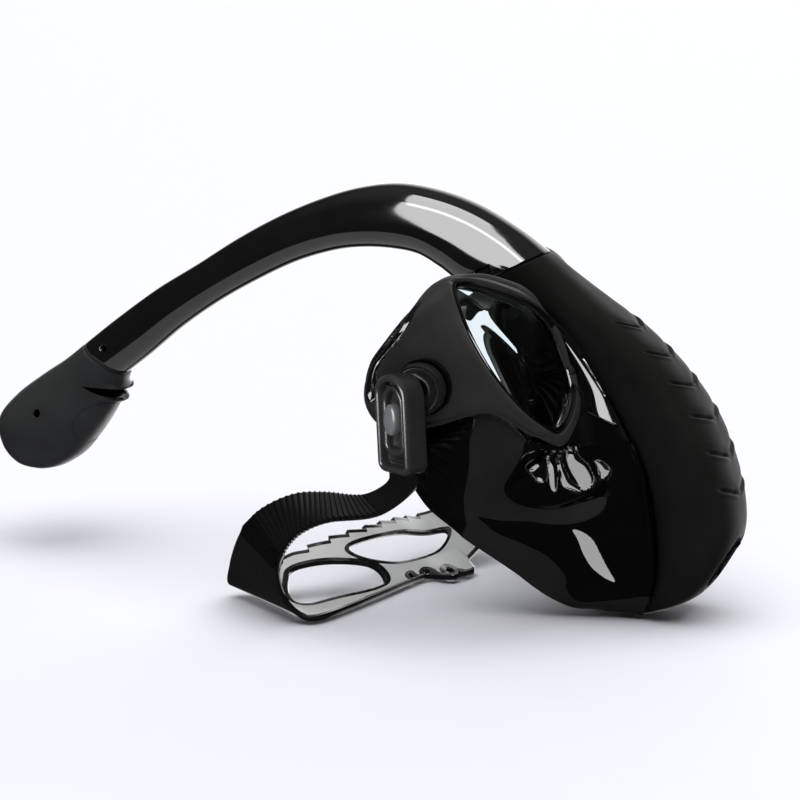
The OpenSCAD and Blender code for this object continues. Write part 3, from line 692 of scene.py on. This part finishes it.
# The glossy strip between lens and housing, by its two edges from the top down.
BRIDGE_REAR = [[26, -18.4, 160], [30.5, -18.2, 148], [33.2, -18, 130], [33.2, -18.8, 112], [31.5, -22, 99]]
BRIDGE_FRONT = [[27.5, -16.8, 157], [31, -17.6, 149], [38, -18.8, 128], [42, -20.6, 105], [44, -24, 86]]
BRIDGE_BOW = 1.0


def build_bridge(side, mirror):
    t = np.linspace(0, 1, 17)[None, :]
    g = between(spline(BRIDGE_REAR, 24), spline(BRIDGE_FRONT, 24), t)
    g[..., 1] -= BRIDGE_BOW * np.sin(math.pi * t)
    obj = make("bridge_" + side, g, grid_faces(*g.shape[:2]), GLOSS, mirror=mirror)
    solidify(outward(obj, (20, 0, 120)), TRIM_WALL, 0.0)
    place(obj, "mask", "gloss_shell", "bridge_trim_" + side)


for side, mirror in SIDES:
    build_cheek(side, mirror)
    build_bridge(side, mirror)

# ---- face skirt -------------------------------------------------------------

# Right halves of the line on the face and of the line behind the frame.
SEAL = [
    [-17, 0, 172], [-3, -36, 180], [-5, -60, 179], [-24, -72, 171], [-42, -75, 152],
    [-42, -71, 112], [-43, -58, 81], [-14, -22, 12], [-8, 0, 8]
]
SKIRT_FRONT = [
    [-3, 0, 164], [5, -36, 172], [3, -57, 171], [-16, -68, 162], [-30, -71, 148],
    [-30, -68, 116], [-30, -52, 84], [-3, -20, 18], [-1, 0, 14]
]


def build_skirt():
    seal, front = spline(both_sides(SEAL), 20, True), spline(both_sides(SKIRT_FRONT), 20, True)
    centre = spline(both_sides(SEAL), 3, True).mean(0)
    lip = centre + (seal - centre) * 0.84 + [4, 0, 0]
    keys = np.array([lip + [0.6, 0, 0], lip, lip * 0.4 + seal * 0.6, seal, (seal + front) / 2, front])
    g = spline(keys.reshape(len(keys), -1), 8).reshape(-1, *seal.shape)
    skirt = make_rings("face_skirt_soft", g, FACE_RUBBER)
    solidify(skirt, SKIRT_WALL, 0.0)
    place(skirt, "mask", "soft_black", "face_skirt")


build_skirt()

# ---- snorkel tube and dry top -----------------------------------------------

# Stations in the ground frame: outer x z, inner x z, half width.
TUBE = [
    [-45.6, 175.4, -76.8, 159.5, 15.5], [-61, 186, -90, 158, 15.5], [-82, 197, -102, 165, 15.5],
    [-103, 203.5, -113, 170.5, 15.5], [-125, 206, -126, 172.5, 15.3], [-147, 203, -142, 172.5, 15],
    [-169, 196, -159, 170, 14.4], [-192, 186, -181, 163, 13.6], [-215, 173.5, -204, 152, 12.8],
    [-239, 158.5, -227, 139, 12.2], [-263, 144, -249, 124, 12.2], [-287, 127, -268, 108.5, 12.8],
    [-306, 112.5, -283, 97, 13.4]
]
HEAD = [
    [-306.1, 112.4, -283.1, 96.9, 13.4], [-319.5, 102, -286, 89, 15], [-334, 92.5, -290, 79.5, 18.5],
    [-349.5, 81, -296.5, 69.5, 22.5], [-360.5, 68, -304.5, 59, 24], [-359.5, 54, -313, 49.5, 21.5],
    [-352, 44.5, -323.5, 42.5, 16], [-342, 40.5, -333, 39.6, 7]
]
JOIN_GAP = 0.35                  # between the tube's foot and the housing
LATCH = np.array([9.5, -14.1, 180.8])      # mask frame
WINDOW = (-0.6, 5.2, 2.9)        # shift from the latch, half length, half height
WINDOW_SIDE = 8                  # the tube's openings are this far off the middle
TUBE_VENT, TUBE_VENT_R = (-291.0, 111.3), 2.0
HEAD_VENT, HEAD_VENT_R, HEAD_VENT_SIDE = (-327.5, 74.7), 2.3, 9
NOTCH = (-303, 90.2)             # deepest point of the inlet notch
NOTCH_HALF = 16.5
NOTCH_SLOPES = (0.08, 0.6)       # of its upper and its lower side
LIP_PUSH = np.array([3.6, 0, -0.6])
COLLAR = 0.12                    # station of the groove next to the tube
SEAM, SEAM_R, SEAM_END = (-291.7, 64.2), 16.3, 6.2
CAP_START = 3.5                  # station where the end cap begins
CAP_TIP = (-340, 0, 42)
HEAD_STATION_MM = (15, 12)       # about, at the collar and at the cap


def from_point(g, point):
    """Distance from a point x z, seen from the side."""
    return np.hypot(g[..., 0] - point[0], g[..., 2] - point[1])


def build_tube():
    steps, count = 24, 128
    g = stations(TUBE, 2.2, steps, count)
    s = station_numbers(g, steps)
    g = g + outer_normals(g) * (-0.5 * (1 - smooth(s, 0, 0.03)))[..., None]
    up = np.array([-math.sin(PITCH), 0, math.cos(PITCH)])
    g[0] += up * JOIN_GAP
    rel = g - to_ground(LATCH) * [1, 0, 1]
    shift, half_length, half_height = WINDOW
    ahead, above = rel @ [math.cos(PITCH), 0, math.sin(PITCH)], rel @ up
    window = np.maximum(np.abs(ahead - shift) - half_length, np.abs(above) - half_height)
    window = np.minimum(window, from_point(g, TUBE_VENT) - TUBE_VENT_R)
    window = np.where(np.abs(g[..., 1]) > WINDOW_SIDE, window, UNCUT)
    tube = make_cut("tube_shell", g, window, TUBE_GLOSS, upright=False)
    solidify(outward(tube, (-150, 0, 60), False), TUBE_WALL)
    place(tube, "snorkel", "gloss_shell", "snorkel_tube")


def build_dry_top():
    steps, count = 48, 200
    g = stations(HEAD, 2.2, steps, count)
    s = station_numbers(g, steps)
    ahead, above = g[..., 0] - NOTCH[0], g[..., 2] - NOTCH[1]
    vent = from_point(g, HEAD_VENT) - HEAD_VENT_R
    collar = 0.8 * hump((s - COLLAR) * HEAD_STATION_MM[0], 0.7)
    seam = np.where(s < SEAM_END, 0.7 * hump(from_point(g, SEAM) - SEAM_R, 0.6), 0)
    g = g - outer_normals(g) * (collar + seam)[..., None]
    off_middle = np.abs(g[..., 1])
    sides = np.maximum(above + ahead * NOTCH_SLOPES[0], -above - ahead * NOTCH_SLOPES[1])
    notch = np.maximum(sides, -ahead)
    cut = np.where(off_middle < NOTCH_HALF, notch, UNCUT)
    cut = np.minimum(cut, np.where(off_middle > HEAD_VENT_SIDE, vent, UNCUT))
    lips = hump(notch, 1.6) * smooth(ahead, 5, 15)
    g = g + lips[..., None] * LIP_PUSH
    before_cap = (CAP_START - s) * HEAD_STATION_MM[1] + 0 * cut
    tip_top = to_row(CAP_TIP, False)[2]
    for name, field, node in (
        ("dry_top_shell", np.minimum(cut, before_cap), "dry_top_body"),
        ("dry_top_end", np.minimum(cut, -before_cap), "dry_top_cap"),
    ):
        obj = make_cut(name, g, field, DRY_TOP, upright=False)
        if node == "dry_top_cap":
            fill_holes(obj, lambda edge: edge.is_boundary and edge.verts[0].co.z < tip_top)
        solidify(outward(obj, (-325, 0, 74), False), HEAD_WALL)
        place(obj, "snorkel", "dry_top_shell", node)


build_tube()
build_dry_top()

# ---- buckles ----------------------------------------------------------------

# About the strap's pivot, with the buckle turned towards the back of the head.
BUCKLE_TURN = math.radians(-24)
CAGE = {"half": 11.0, "top": 8.0, "low": -39.0}
ARCH = {"half": 7.2, "top": 4.2, "low": -30}
CAGE_X, CAGE_LEAN, CAGE_MIDDLE = 0.6, 0.07, -16
SHARP_ANGLE = 50                 # degrees between two faces of the cage that make an edge
# Sections as inset from the outline, or radius for the hub, and y.
CAGE_BODY = [(1.0, -11.6), (0.3, -12.2), (0, -13.5), (0, -21.5), (0.5, -23.9), (1.8, -25), (3.0, -24.6)]
CAGE_RECESS = [(3.4, -24.0), (3.7, -22.0), (4.1, -20.3), (5.0, -19.9)]
ARCH_SECTION = [
    (0, -19.7), (0, -22.6), (0.5, -23.4), (1.6, -23.6), (2.6, -23.0), (3.0, -21.8), (3.2, -19.7)
]
HUB_SECTION = [
    (4.7, -7.0), (11.0, -6.6), (12.3, -7.4), (12.5, -9.5), (12.3, -12.0), (11.4, -13.1), (10.2, -13.2),
    (9.4, -12.6), (8.6, -12.9), (6.0, -13.1), (4.7, -12.9)
]
PAD_DOME = [(1.0, 0.0), (1.0, 2.6), (0.97, 3.6), (0.9, 4.2), (0.7, 4.7), (0.4, 5.0), (0.02, 5.1)]
PAD_HALF = (4.4, 7.6)
PAD_FOOT = (-21.4, -13)          # y and z of the pad's middle


def turned(points):
    p = np.asarray(points, float)
    c, s = math.cos(BUCKLE_TURN), math.sin(BUCKLE_TURN)
    x, y = p[..., 0] * c - p[..., 1] * s, p[..., 0] * s + p[..., 1] * c
    return np.stack([x, y, p[..., 2]], -1)


def cage_outline(inset, half, top, low):
    """Rounded outline in the buckle's own plane, rounder at the top."""
    half, top, low = half - inset, top - inset, low + inset
    rt, rl = max(10.5 - inset, 1.5), max(5 - inset, 1.5)
    points = []
    for cx, cz, r, start in ((half - rt, top - rt, rt, 0), (-half + rt, top - rt, rt, 90),
                             (-half + rl, low + rl, rl, 180), (half - rl, low + rl, rl, 270)):
        a = np.radians(np.linspace(start, start + 90, 24))
        points.append(np.stack([cx + r * np.cos(a), cz + r * np.sin(a)], -1))
    return np.vstack(points)


def cage_rings(section, size):
    g = []
    for inset, y in section:
        x, z = cage_outline(inset, **size).T
        g.append(np.stack([x + CAGE_X - CAGE_LEAN * (z - CAGE_MIDDLE), np.full(len(x), y), z], -1))
    return np.array(g)


def close_ends(g):
    first, last = g[0].mean(0), g[-1].mean(0)
    a = [first + (g[0] - first) * k for k in (0.02, 0.5)]
    b = [last + (g[-1] - last) * k for k in (0.5, 0.02)]
    return np.vstack([a, g, b])


def round_rings(section, half_x=1.0, half_z=1.0, middle=(0, 0, 0), count=96):
    """Rings about the pivot's axis, from pairs of size and y."""
    a = round_angles(count)
    return np.array([np.stack([half_x * k * np.cos(a), np.full(count, y), half_z * k * np.sin(a)], -1)
                     + middle for k, y in section])


def build_buckle(side, mirror):
    cage = close_ends(cage_rings(np.vstack([spline(CAGE_BODY, 4), CAGE_RECESS]), CAGE))
    arch = cage_rings(spline(ARCH_SECTION, 4), ARCH)
    pad = round_rings([(k, -y) for k, y in PAD_DOME], *PAD_HALF, (CAGE_X, *PAD_FOOT), 72)
    for name, g, material, slot, body, nodes in (
        ("buckle_cage_", turned(cage), BUCKLE, "buckle_plastic", "harness", ["buckle_"]),
        ("buckle_hub_", round_rings(spline(HUB_SECTION, 5)), BUCKLE, "buckle_plastic", "harness", []),
        ("buckle_arch_", turned(arch), BUCKLE, "buckle_plastic", "harness", []),
        ("buckle_pad_", turned(pad), BUTTON, "button_plastic", "button_" + side, ["buckle_button_"]),
    ):
        obj = make_rings(name + side, POST + g, material, upright=False, mirror=mirror)
        if name == "buckle_cage_":
            obj.data.set_sharp_from_angle(angle=math.radians(SHARP_ANGLE))
        place(obj, body, slot, *[x + side for x in nodes])


for side, mirror in SIDES:
    build_buckle(side, mirror)

# ---- head strap -------------------------------------------------------------

# Its two edges in the ground frame, from the right buckle round the rear pad,
# which lies on the floor, to the left one.
STRAP_LOW = [
    [-74.5, -99.8, 84], [-75, -100, 76], [-93, -102, 62], [-119, -102, 56], [-134, -101, 48],
    [-143, -99, 38], [-148, -97, 27], [-147, -94, 14], [-141, -90, 4.5], [-131, -85, 0.1],
    [-124, -60, 0], [-118, -30, 0], [-112, 0, 0], [-103, 28, 1], [-95, 46, 12], [-90, 62, 28],
    [-86, 76, 46], [-84, 90, 58], [-75, 100, 76], [-74.5, 99.8, 84]
]
STRAP_HIGH = [
    [-90.5, -92.7, 84], [-91, -93, 76], [-107, -88, 66], [-129, -84, 64], [-145, -86, 62],
    [-162, -88, 53], [-175, -82, 39], [-188, -68, 18], [-192, -58, 5], [-172, -47, 16],
    [-155, -32, 25], [-143, -12, 28], [-137, 20, 26], [-132, 45, 23], [-120, 66, 32],
    [-110, 78, 46], [-104, 85, 60], [-99, 88, 68], [-91, 93, 76], [-90.5, 92.7, 84]
]
STRAP_LIFT = 1.7                 # lowest middle of the band over the floor
# Openings in the pad, as station along the strap and share of the way across.
HOLES = [
    [(8.95, 0.70), (9.2, 0.80), (9.95, 0.68), (10.85, 0.45), (11.05, 0.2), (10.7, 0.15), (9.55, 0.23),
     (8.75, 0.28), (8.70, 0.45)],
    [(10.5, 0.73), (10.8, 0.80), (11.95, 0.75), (13.15, 0.60), (13.15, 0.45), (12.5, 0.33),
     (11.65, 0.35), (10.9, 0.53)]
]
HOLE_MM = (11.0, 34.0)           # about, per station and across
DOTS = [(12.12, 0.10, 1.1), (12.22, 0.035, 1.0), (12.53, 0.10, 1.1), (12.66, 0.035, 1.0)]
SLOT_CUT, SLOT_HALF = [(11.68, 0.14), (11.74, 0.07), (11.85, 0.04)], 0.55
DOT_MM = (13, 36)                # the same, next to the free tab
TAB, TAB_PUSH = (12.05, 12.5, 13.0, 13.3), np.array([11.5, -7.5, 0])
RIB_PITCH = 2.8
RIBS_RIGHT, RIBS_LEFT = (1.9, 2.1, 5.1, 5.3), (14.4, 14.6, 17, 17.2)
CROSS_BAR = 5.65                 # raised bar where the ribs end
TEETH, TOOTH_PITCH, TOOTH_DEPTH = (9.2, 9.6, 13.6, 14), 13, 1.6      # along the pad's upper edge
EDGE_MM = 26                     # about, across the arms
PAD_STATIONS = (7.6, 14.0)
# Painted reflection on the pad: how far it stays in from the pad's edges and holes, and how far it stands
# off the band.
PAINTED_REFLECTION_MARGIN = 1.3
SKIN_LIFT = 1.47                 # ribs start this far off the band's middle
PAINTED_REFLECTION_PROUD = 0.03


def build_strap():
    steps, cols = 56, 72
    a, b = spline(STRAP_LOW, steps), spline(STRAP_HIGH, steps)
    share = np.linspace(0, 1, cols)[None, :]
    u, v = station_numbers(a, steps) + 0 * share, share + 0 * a[:, :1]
    g = between(a, b, share)
    gaps = np.linalg.norm(np.diff((a + b) / 2, axis=0), axis=1)
    length = np.concatenate([[0], np.cumsum(gaps)])[:, None]
    tab = soft_range(u, TAB) * (1 - smooth(v, 0, 0.3))
    g = g + tab[..., None] * TAB_PUSH
    g[..., 2] = np.maximum(g[..., 2], STRAP_LIFT)
    n = grid_normals(g, False)

    ribbed = soft_range(u, RIBS_RIGHT) + soft_range(u, RIBS_LEFT)
    wave = np.cos(2 * math.pi * length / RIB_PITCH)
    low_edge = v * EDGE_MM - ribbed * (0.6 + 0.6 * wave)
    teeth = soft_range(u, TEETH) * TOOTH_DEPTH * np.mod(length / TOOTH_PITCH, 1.0)
    high_edge = (1 - v) * EDGE_MM - teeth
    field = np.full(u.shape, UNCUT)
    for hole in HOLES:
        field = np.minimum(field, -closed_region(u, v, hole, 10, HOLE_MM))
    for du, dv, r in DOTS:
        field = np.minimum(field, np.hypot((u - du) * DOT_MM[0], (v - dv) * DOT_MM[1]) - r)
    field = np.minimum(field, polyline_distance(u, v, SLOT_CUT, DOT_MM) - SLOT_HALF)
    field = np.minimum(field, np.minimum(np.where(ribbed > 0, low_edge, UNCUT), high_edge + 0.01))
    band = make_cut("head_strap_band", g, field, BAND, wrap=False, upright=False)
    solidify(band, STRAP_WALL, 0.0)
    place(band, "harness", "soft_black", "head_strap")

    ribs = (0.55 * ribbed * wave + 0.9 * hump(u - CROSS_BAR, 0.16))[..., None]
    raised = (ribbed > 0.02) | (hump(u - CROSS_BAR, 0.2) > 0.05)
    rib_area = np.minimum(np.where(raised, 1.0, -1.0), np.minimum(low_edge, high_edge))
    along = np.minimum(u - PAD_STATIONS[0], PAD_STATIONS[1] - u) * DOT_MM[0]
    painted_reflection_area = np.minimum(along, np.minimum(field, np.minimum(v, 1 - v) * 30) - PAINTED_REFLECTION_MARGIN)
    inner = 1 if n[steps * 11, cols // 2, 2] > 0 else -1
    for name, face, area, material, slot, lift in (
        ("strap_ribs_out", -inner, rib_area, FACE_RUBBER, "soft_black", ribs),
        ("strap_ribs_in", inner, rib_area, FACE_RUBBER, "soft_black", ribs),
        # painted reflection: a light grey sheet on the pad's inner face, in place of the backdrop mirrored
        # by the black strap
        ("strap_pad_lining", inner, painted_reflection_area, PAINTED_PAD_REFLECTION, "soft_clear", PAINTED_REFLECTION_PROUD),
    ):
        skin = g + face * n * (SKIN_LIFT + lift)
        place(make_cut(name, skin, area, material, wrap=False, upright=False), "harness", slot)


build_strap()

# ---- what is carried over from the frame ------------------------------------

# The purge cover, seat, membrane and the cover screws get the painted shade of the purge opening in place
# of their own colours.
CARRIED = {
    "duct_socket_seal": RUBBER, "purge_cover": PAINTED_OPENING_SHADE, "purge_seat": PAINTED_OPENING_SHADE, "purge_membrane": PAINTED_OPENING_SHADE,
    "inner_cup": RUBBER, "inhale_seat": GREY, "inhale_valve": MILKY, "exhale_seat": INNER,
    "exhale_valve": MILKY, "cover_screws": PAINTED_OPENING_SHADE, "post_clip": STEEL, "post": GLOSS,
    "tube_spigot": INNER, "tube_divider": INNER, "spigot_seal": MILKY, "latch_tab": INNER,
    "float_guide": INNER, "float_body": FOAM, "float_seal": MILKY, "buckle_roller": GREY,
    "roller_pins": STEEL
}
for name, obj in frame["nodes"].items():
    if obj.hide_render:
        continue
    key = max((k for k in CARRIED if name.startswith(k)), key=len, default=None)
    obj.data.materials.clear()
    obj.data.materials.append(CARRIED.get(key, INNER))

# ---- stage ------------------------------------------------------------------

REACH = 30.0                     # metres to each edge of the floor
floor_mesh = bpy.data.meshes.new("floor")
floor_mesh.from_pydata([(-REACH, -REACH, 0), (REACH, -REACH, 0), (REACH, REACH, 0), (-REACH, REACH, 0)],
                       [], [(0, 1, 2, 3)])
floor = bpy.data.objects.new("floor", floor_mesh)
bpy.context.scene.collection.objects.link(floor)
floor_mesh.materials.append(
    plastic("floor_paper", (0.80, 0.805, 0.868), 0.9, vary=0.003, ior=1.2, wear=0.01))

# The studio is dim but for a glow overhead and a bright wall far behind.
AMBIENT = 0.03
world = bpy.data.worlds.new("studio")
bpy.context.scene.world = world
world.use_nodes = True
tree = world.node_tree
direction = tree.nodes.new("ShaderNodeTexCoord")
axes = tree.nodes.new("ShaderNodeSeparateXYZ")
tree.links.new(direction.outputs["Generated"], axes.inputs["Vector"])
overhead = remap(tree, axes.outputs["Z"], 0.5, 1.0, 0, 0.25, "SMOOTHSTEP")
backdrop = remap(tree, axes.outputs["Y"], 0.6, 0.95, 0, 2.3, "SMOOTHSTEP")
back = tree.nodes["Background"]
tree.links.new(add_values(tree, add_values(tree, overhead, backdrop), AMBIENT), back.inputs["Strength"])
back.inputs["Color"].default_value = (1.0, 1.0, 1.0, 1)


def softbox(name, at, target, size, radiance, parts):
    """A panel out of the camera's sight that only the named parts mirror."""
    data = bpy.data.lights.new(name, "AREA")
    data.shape = "RECTANGLE"
    data.size, data.size_y = size
    data.energy = radiance * math.pi * size[0] * size[1]
    obj = bpy.data.objects.new(name, data)
    obj.location = at
    obj.rotation_mode = "QUATERNION"
    obj.rotation_quaternion = (Vector(at) - Vector(target)).to_track_quat("Z", "Y")
    obj.visible_camera = False
    bpy.context.scene.collection.objects.link(obj)
    lit = bpy.data.collections.new(name + "_parts")
    for part in bpy.data.objects:
        if part.type == "MESH" and part.name.startswith(parts):
            lit.objects.link(part)
    obj.light_linking.receiver_collection = lit


# Places and sizes in metres.
softbox("key_tube", (0.01, -0.42, 0.32), (0.07, 0, 0.20), (0.30, 0.48), 14, ("tube_shell",))
softbox("top_tube", (0.05, -0.20, 0.54), (0.07, 0, 0.19), (0.26, 0.34), 13, ("tube_shell",))
softbox("under_tube", (-0.10, -0.06, 0.012), (-0.10, -0.05, 0.2), (0.50, 0.24), 1.0, ("tube_shell",))
softbox("key_trim", (0.03, -0.42, 0.18), (0.13, 0, 0.12), (0.22, 0.26), 14,
        ("bridge", "rim", "buckle_cage", "buckle_arch", "buckle_pad", "frame_bay"))
softbox("key_fold", (0.09, -0.33, -0.14), (0.13, -0.03, 0.076), (1.2, 1.1), 8.5,
        ("nose_fold", "nose_oval"))

# A wide, soft light from above does the lighting and is not mirrored.
SKY_STRENGTH, SKY_WIDTH, SKY_TURN = 3.0, 72, (8, 6)
sky_data = bpy.data.lights.new("sky", "SUN")
sky_data.energy = SKY_STRENGTH
sky_data.angle = math.radians(SKY_WIDTH)
sky = bpy.data.objects.new("sky", sky_data)
sky.rotation_euler = (math.radians(SKY_TURN[0]), math.radians(SKY_TURN[1]), 0)
sky.visible_glossy = False
bpy.context.scene.collection.objects.link(sky)
floor.visible_glossy = False

AZIMUTH, ELEVATION, DISTANCE, FOCAL = 23.0, 12.0, 1.228, 108.0
AIM = Vector((0.0277, 0.0, 0.0962))
az, el = math.radians(AZIMUTH), math.radians(ELEVATION)
away = Vector((math.sin(az) * math.cos(el), -math.cos(az) * math.cos(el), math.sin(el)))
camera_data = bpy.data.cameras.new("camera")
camera_data.lens, camera_data.sensor_width = FOCAL, 36.0
camera = bpy.data.objects.new("camera", camera_data)
camera.location = AIM + away * DISTANCE
camera.rotation_mode = "QUATERNION"
camera.rotation_quaternion = away.to_track_quat("Z", "Y")
bpy.context.scene.collection.objects.link(camera)
bpy.context.scene.camera = camera
bpy.context.scene.view_settings.view_transform = "Standard"
